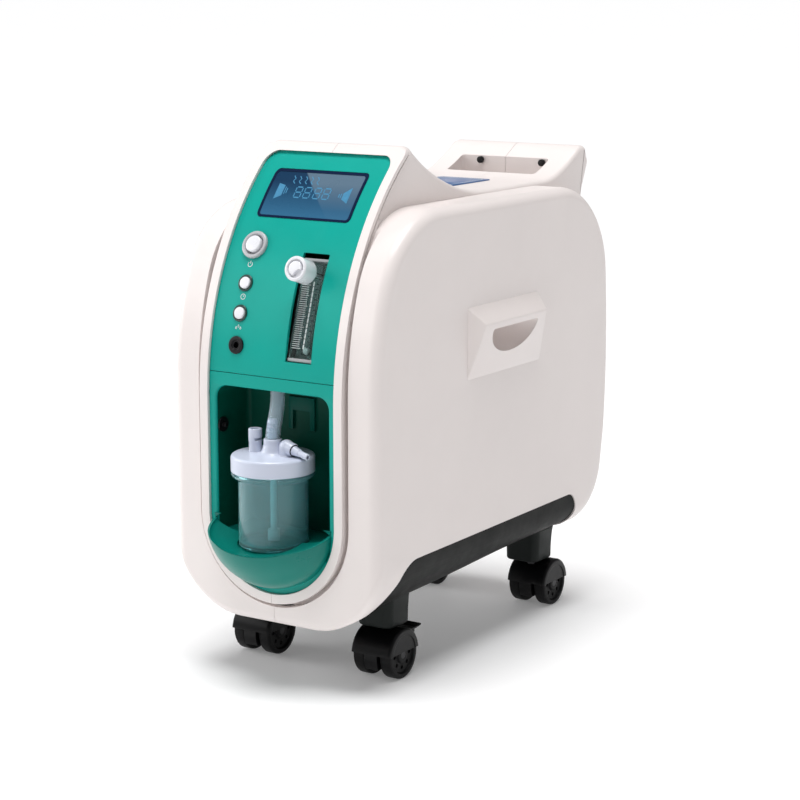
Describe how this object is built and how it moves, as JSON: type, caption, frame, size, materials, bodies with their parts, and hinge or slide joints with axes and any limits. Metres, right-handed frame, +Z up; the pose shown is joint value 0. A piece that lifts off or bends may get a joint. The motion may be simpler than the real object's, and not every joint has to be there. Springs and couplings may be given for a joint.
{
  "type": "oxygen concentrator",
  "caption": "Upright oxygen concentrator cabinet with leaning control panel, humidifier bottle in an open bay, saddle top, carry handle, side grips and twin-wheel casters.",
  "frame": {"origin": "middle of the footprint's bounding box, on the floor", "axes": "+Z up; the control panel faces -Y; +X is to the right of someone who faces the control panel"},
  "size_m": [0.284, 0.5463, 0.537],
  "materials": {
    "shell_white": "satin moulded plastic",
    "panel_teal": "glossy moulded plastic",
    "tub_dark": "dark satin plastic",
    "window_blue": "glossy tinted window",
    "board_green": "lacquered circuit board",
    "trim_grey": "satin grey plastic",
    "cap_white": "glossy white plastic",
    "ring_green": "dark green plastic",
    "black_plastic": "black plastic",
    "clear_plastic": "clear moulded plastic",
    "float_black": "polished black ball",
    "seal_red": "soft rubber",
    "label_blue": "printed plastic plate",
    "sheet_steel": "zinc-plated sheet",
    "cast_alloy": "cast and machined alloy",
    "caster_black": "black nylon",
    "wheel_black": "hard black tread"
  },
  "bodies": {
    "cabinet": {"housing_left": "shell_white", "housing_right": "shell_white", "base_tub": "tub_dark", "caster_feet": "tub_dark", "control_panel": "panel_teal", "bay_panel": "panel_teal", "bottle_tray": "panel_teal", "display_window": "window_blue", "display_module": "trim_grey", "control_board": "board_green", "power_button_ring": "trim_grey", "key_rings": "ring_green", "accessory_jack": "black_plastic", "bay_socket": "black_plastic", "flowmeter_body": "clear_plastic", "bottle_cap": "cap_white", "cap_seal": "seal_red", "dip_tube": "cap_white", "relief_valve": "cap_white", "outlet_elbow": "cap_white", "supply_hose": "clear_plastic", "saddle_plate": "label_blue", "grip_left": "shell_white", "grip_right": "shell_white", "rear_grille": "trim_grey", "intake_filter": "trim_grey", "mains_inlet": "black_plastic", "mounting_deck": "sheet_steel", "compressor": "cast_alloy", "compressor_springs": "sheet_steel", "fan_shroud": "black_plastic", "sieve_bed_left": "cast_alloy", "sieve_bed_right": "cast_alloy", "product_tank": "cap_white", "valve_block": "cast_alloy", "housing_screws": "sheet_steel"},
    "swivel_front_left": {"caster_front_left": "caster_black"},
    "wheel_front_left_outer": {"wheel_front_left_outer": "wheel_black"},
    "wheel_front_left_inner": {"wheel_front_left_inner": "wheel_black"},
    "swivel_front_right": {"caster_front_right": "caster_black"},
    "wheel_front_right_outer": {"wheel_front_right_outer": "wheel_black"},
    "wheel_front_right_inner": {"wheel_front_right_inner": "wheel_black"},
    "swivel_rear_left": {"caster_rear_left": "caster_black"},
    "wheel_rear_left_outer": {"wheel_rear_left_outer": "wheel_black"},
    "wheel_rear_left_inner": {"wheel_rear_left_inner": "wheel_black"},
    "swivel_rear_right": {"caster_rear_right": "caster_black"},
    "wheel_rear_right_outer": {"wheel_rear_right_outer": "wheel_black"},
    "wheel_rear_right_inner": {"wheel_rear_right_inner": "wheel_black"},
    "brake_left": {"brake_left": "black_plastic"},
    "brake_right": {"brake_right": "black_plastic"},
    "power_button": {"power_button": "cap_white"},
    "timer_button": {"timer_button": "cap_white"},
    "mist_button": {"mist_button": "cap_white"},
    "breaker_button": {"breaker_button": "black_plastic"},
    "flow_knob": {"flow_knob": "cap_white"},
    "flow_float": {"flow_float": "float_black"},
    "bottle": {"bottle": "clear_plastic"},
    "filter_door": {"filter_door": "shell_white"},
    "cooling_fan": {"cooling_fan": "black_plastic"}
  },
  "joints": [
    {"name": "swivel_front_left", "type": "hinge", "parent": "cabinet", "child": "swivel_front_left", "pos_m": [-0.076, -0.123, 0.054], "axis": [0, 0, 1], "continuous": true},
    {"name": "roll_front_left_outer", "type": "hinge", "parent": "swivel_front_left", "child": "wheel_front_left_outer", "pos_m": [-0.092, -0.135, 0.025], "axis": [1, 0, 0], "continuous": true},
    {"name": "roll_front_left_inner", "type": "hinge", "parent": "swivel_front_left", "child": "wheel_front_left_inner", "pos_m": [-0.06, -0.135, 0.025], "axis": [1, 0, 0], "continuous": true},
    {"name": "swivel_front_right", "type": "hinge", "parent": "cabinet", "child": "swivel_front_right", "pos_m": [0.076, -0.123, 0.054], "axis": [0, 0, 1], "continuous": true},
    {"name": "roll_front_right_outer", "type": "hinge", "parent": "swivel_front_right", "child": "wheel_front_right_outer", "pos_m": [0.092, -0.135, 0.025], "axis": [1, 0, 0], "continuous": true},
    {"name": "roll_front_right_inner", "type": "hinge", "parent": "swivel_front_right", "child": "wheel_front_right_inner", "pos_m": [0.06, -0.135, 0.025], "axis": [1, 0, 0], "continuous": true},
    {"name": "swivel_rear_left", "type": "hinge", "parent": "cabinet", "child": "swivel_rear_left", "pos_m": [-0.076, 0.168, 0.054], "axis": [0, 0, 1], "continuous": true},
    {"name": "roll_rear_left_outer", "type": "hinge", "parent": "swivel_rear_left", "child": "wheel_rear_left_outer", "pos_m": [-0.092, 0.18, 0.025], "axis": [1, 0, 0], "continuous": true},
    {"name": "roll_rear_left_inner", "type": "hinge", "parent": "swivel_rear_left", "child": "wheel_rear_left_inner", "pos_m": [-0.06, 0.18, 0.025], "axis": [1, 0, 0], "continuous": true},
    {"name": "swivel_rear_right", "type": "hinge", "parent": "cabinet", "child": "swivel_rear_right", "pos_m": [0.076, 0.168, 0.054], "axis": [0, 0, 1], "continuous": true},
    {"name": "roll_rear_right_outer", "type": "hinge", "parent": "swivel_rear_right", "child": "wheel_rear_right_outer", "pos_m": [0.092, 0.18, 0.025], "axis": [1, 0, 0], "continuous": true},
    {"name": "roll_rear_right_inner", "type": "hinge", "parent": "swivel_rear_right", "child": "wheel_rear_right_inner", "pos_m": [0.06, 0.18, 0.025], "axis": [1, 0, 0], "continuous": true},
    {"name": "brake_left", "type": "hinge", "parent": "swivel_front_left", "child": "brake_left", "pos_m": [-0.076, -0.106, 0.0415], "axis": [-1, 0, 0], "range_deg": [0, 18]},
    {"name": "brake_right", "type": "hinge", "parent": "swivel_front_right", "child": "brake_right", "pos_m": [0.076, -0.106, 0.0415], "axis": [-1, 0, 0], "range_deg": [0, 18]},
    {"name": "power_button_press", "type": "slide", "parent": "cabinet", "child": "power_button", "axis": [0, 0.8752, -0.4838], "range_m": [0, 0.002], "stiffness_N_per_m": 400, "springref_m": -0.001},
    {"name": "timer_button_press", "type": "slide", "parent": "cabinet", "child": "timer_button", "axis": [0, 0.9303, -0.3669], "range_m": [0, 0.0015], "stiffness_N_per_m": 300, "springref_m": -0.001},
    {"name": "mist_button_press", "type": "slide", "parent": "cabinet", "child": "mist_button", "axis": [0, 0.9621, -0.2727], "range_m": [0, 0.0015], "stiffness_N_per_m": 300, "springref_m": -0.001},
    {"name": "breaker_press", "type": "slide", "parent": "cabinet", "child": "breaker_button", "axis": [0, -1, 0], "range_m": [0, 0.002], "stiffness_N_per_m": 500, "springref_m": -0.001},
    {"name": "flow_knob_turn", "type": "hinge", "parent": "cabinet", "child": "flow_knob", "pos_m": [0.031, -0.1956, 0.417], "axis": [0, -0.9527, 0.304], "range_deg": [0, 330]},
    {"name": "flow_float_rise", "type": "slide", "parent": "cabinet", "child": "flow_float", "axis": [0, 0.304, 0.9527], "range_m": [0, 0.057]},
    {"name": "bottle_unscrew", "type": "hinge", "parent": "cabinet", "child": "bottle", "pos_m": [0, -0.2205, 0.2], "axis": [0, 0, 1], "range_deg": [0, 120]},
    {"name": "filter_door_open", "type": "hinge", "parent": "cabinet", "child": "filter_door", "pos_m": [0, 0.25, 0.311], "axis": [-1, 0, 0], "range_deg": [0, 88]},
    {"name": "fan_spin", "type": "hinge", "parent": "cabinet", "child": "cooling_fan", "pos_m": [0, 0.203, 0.236], "axis": [0, 1, 0], "continuous": true}
  ]
}
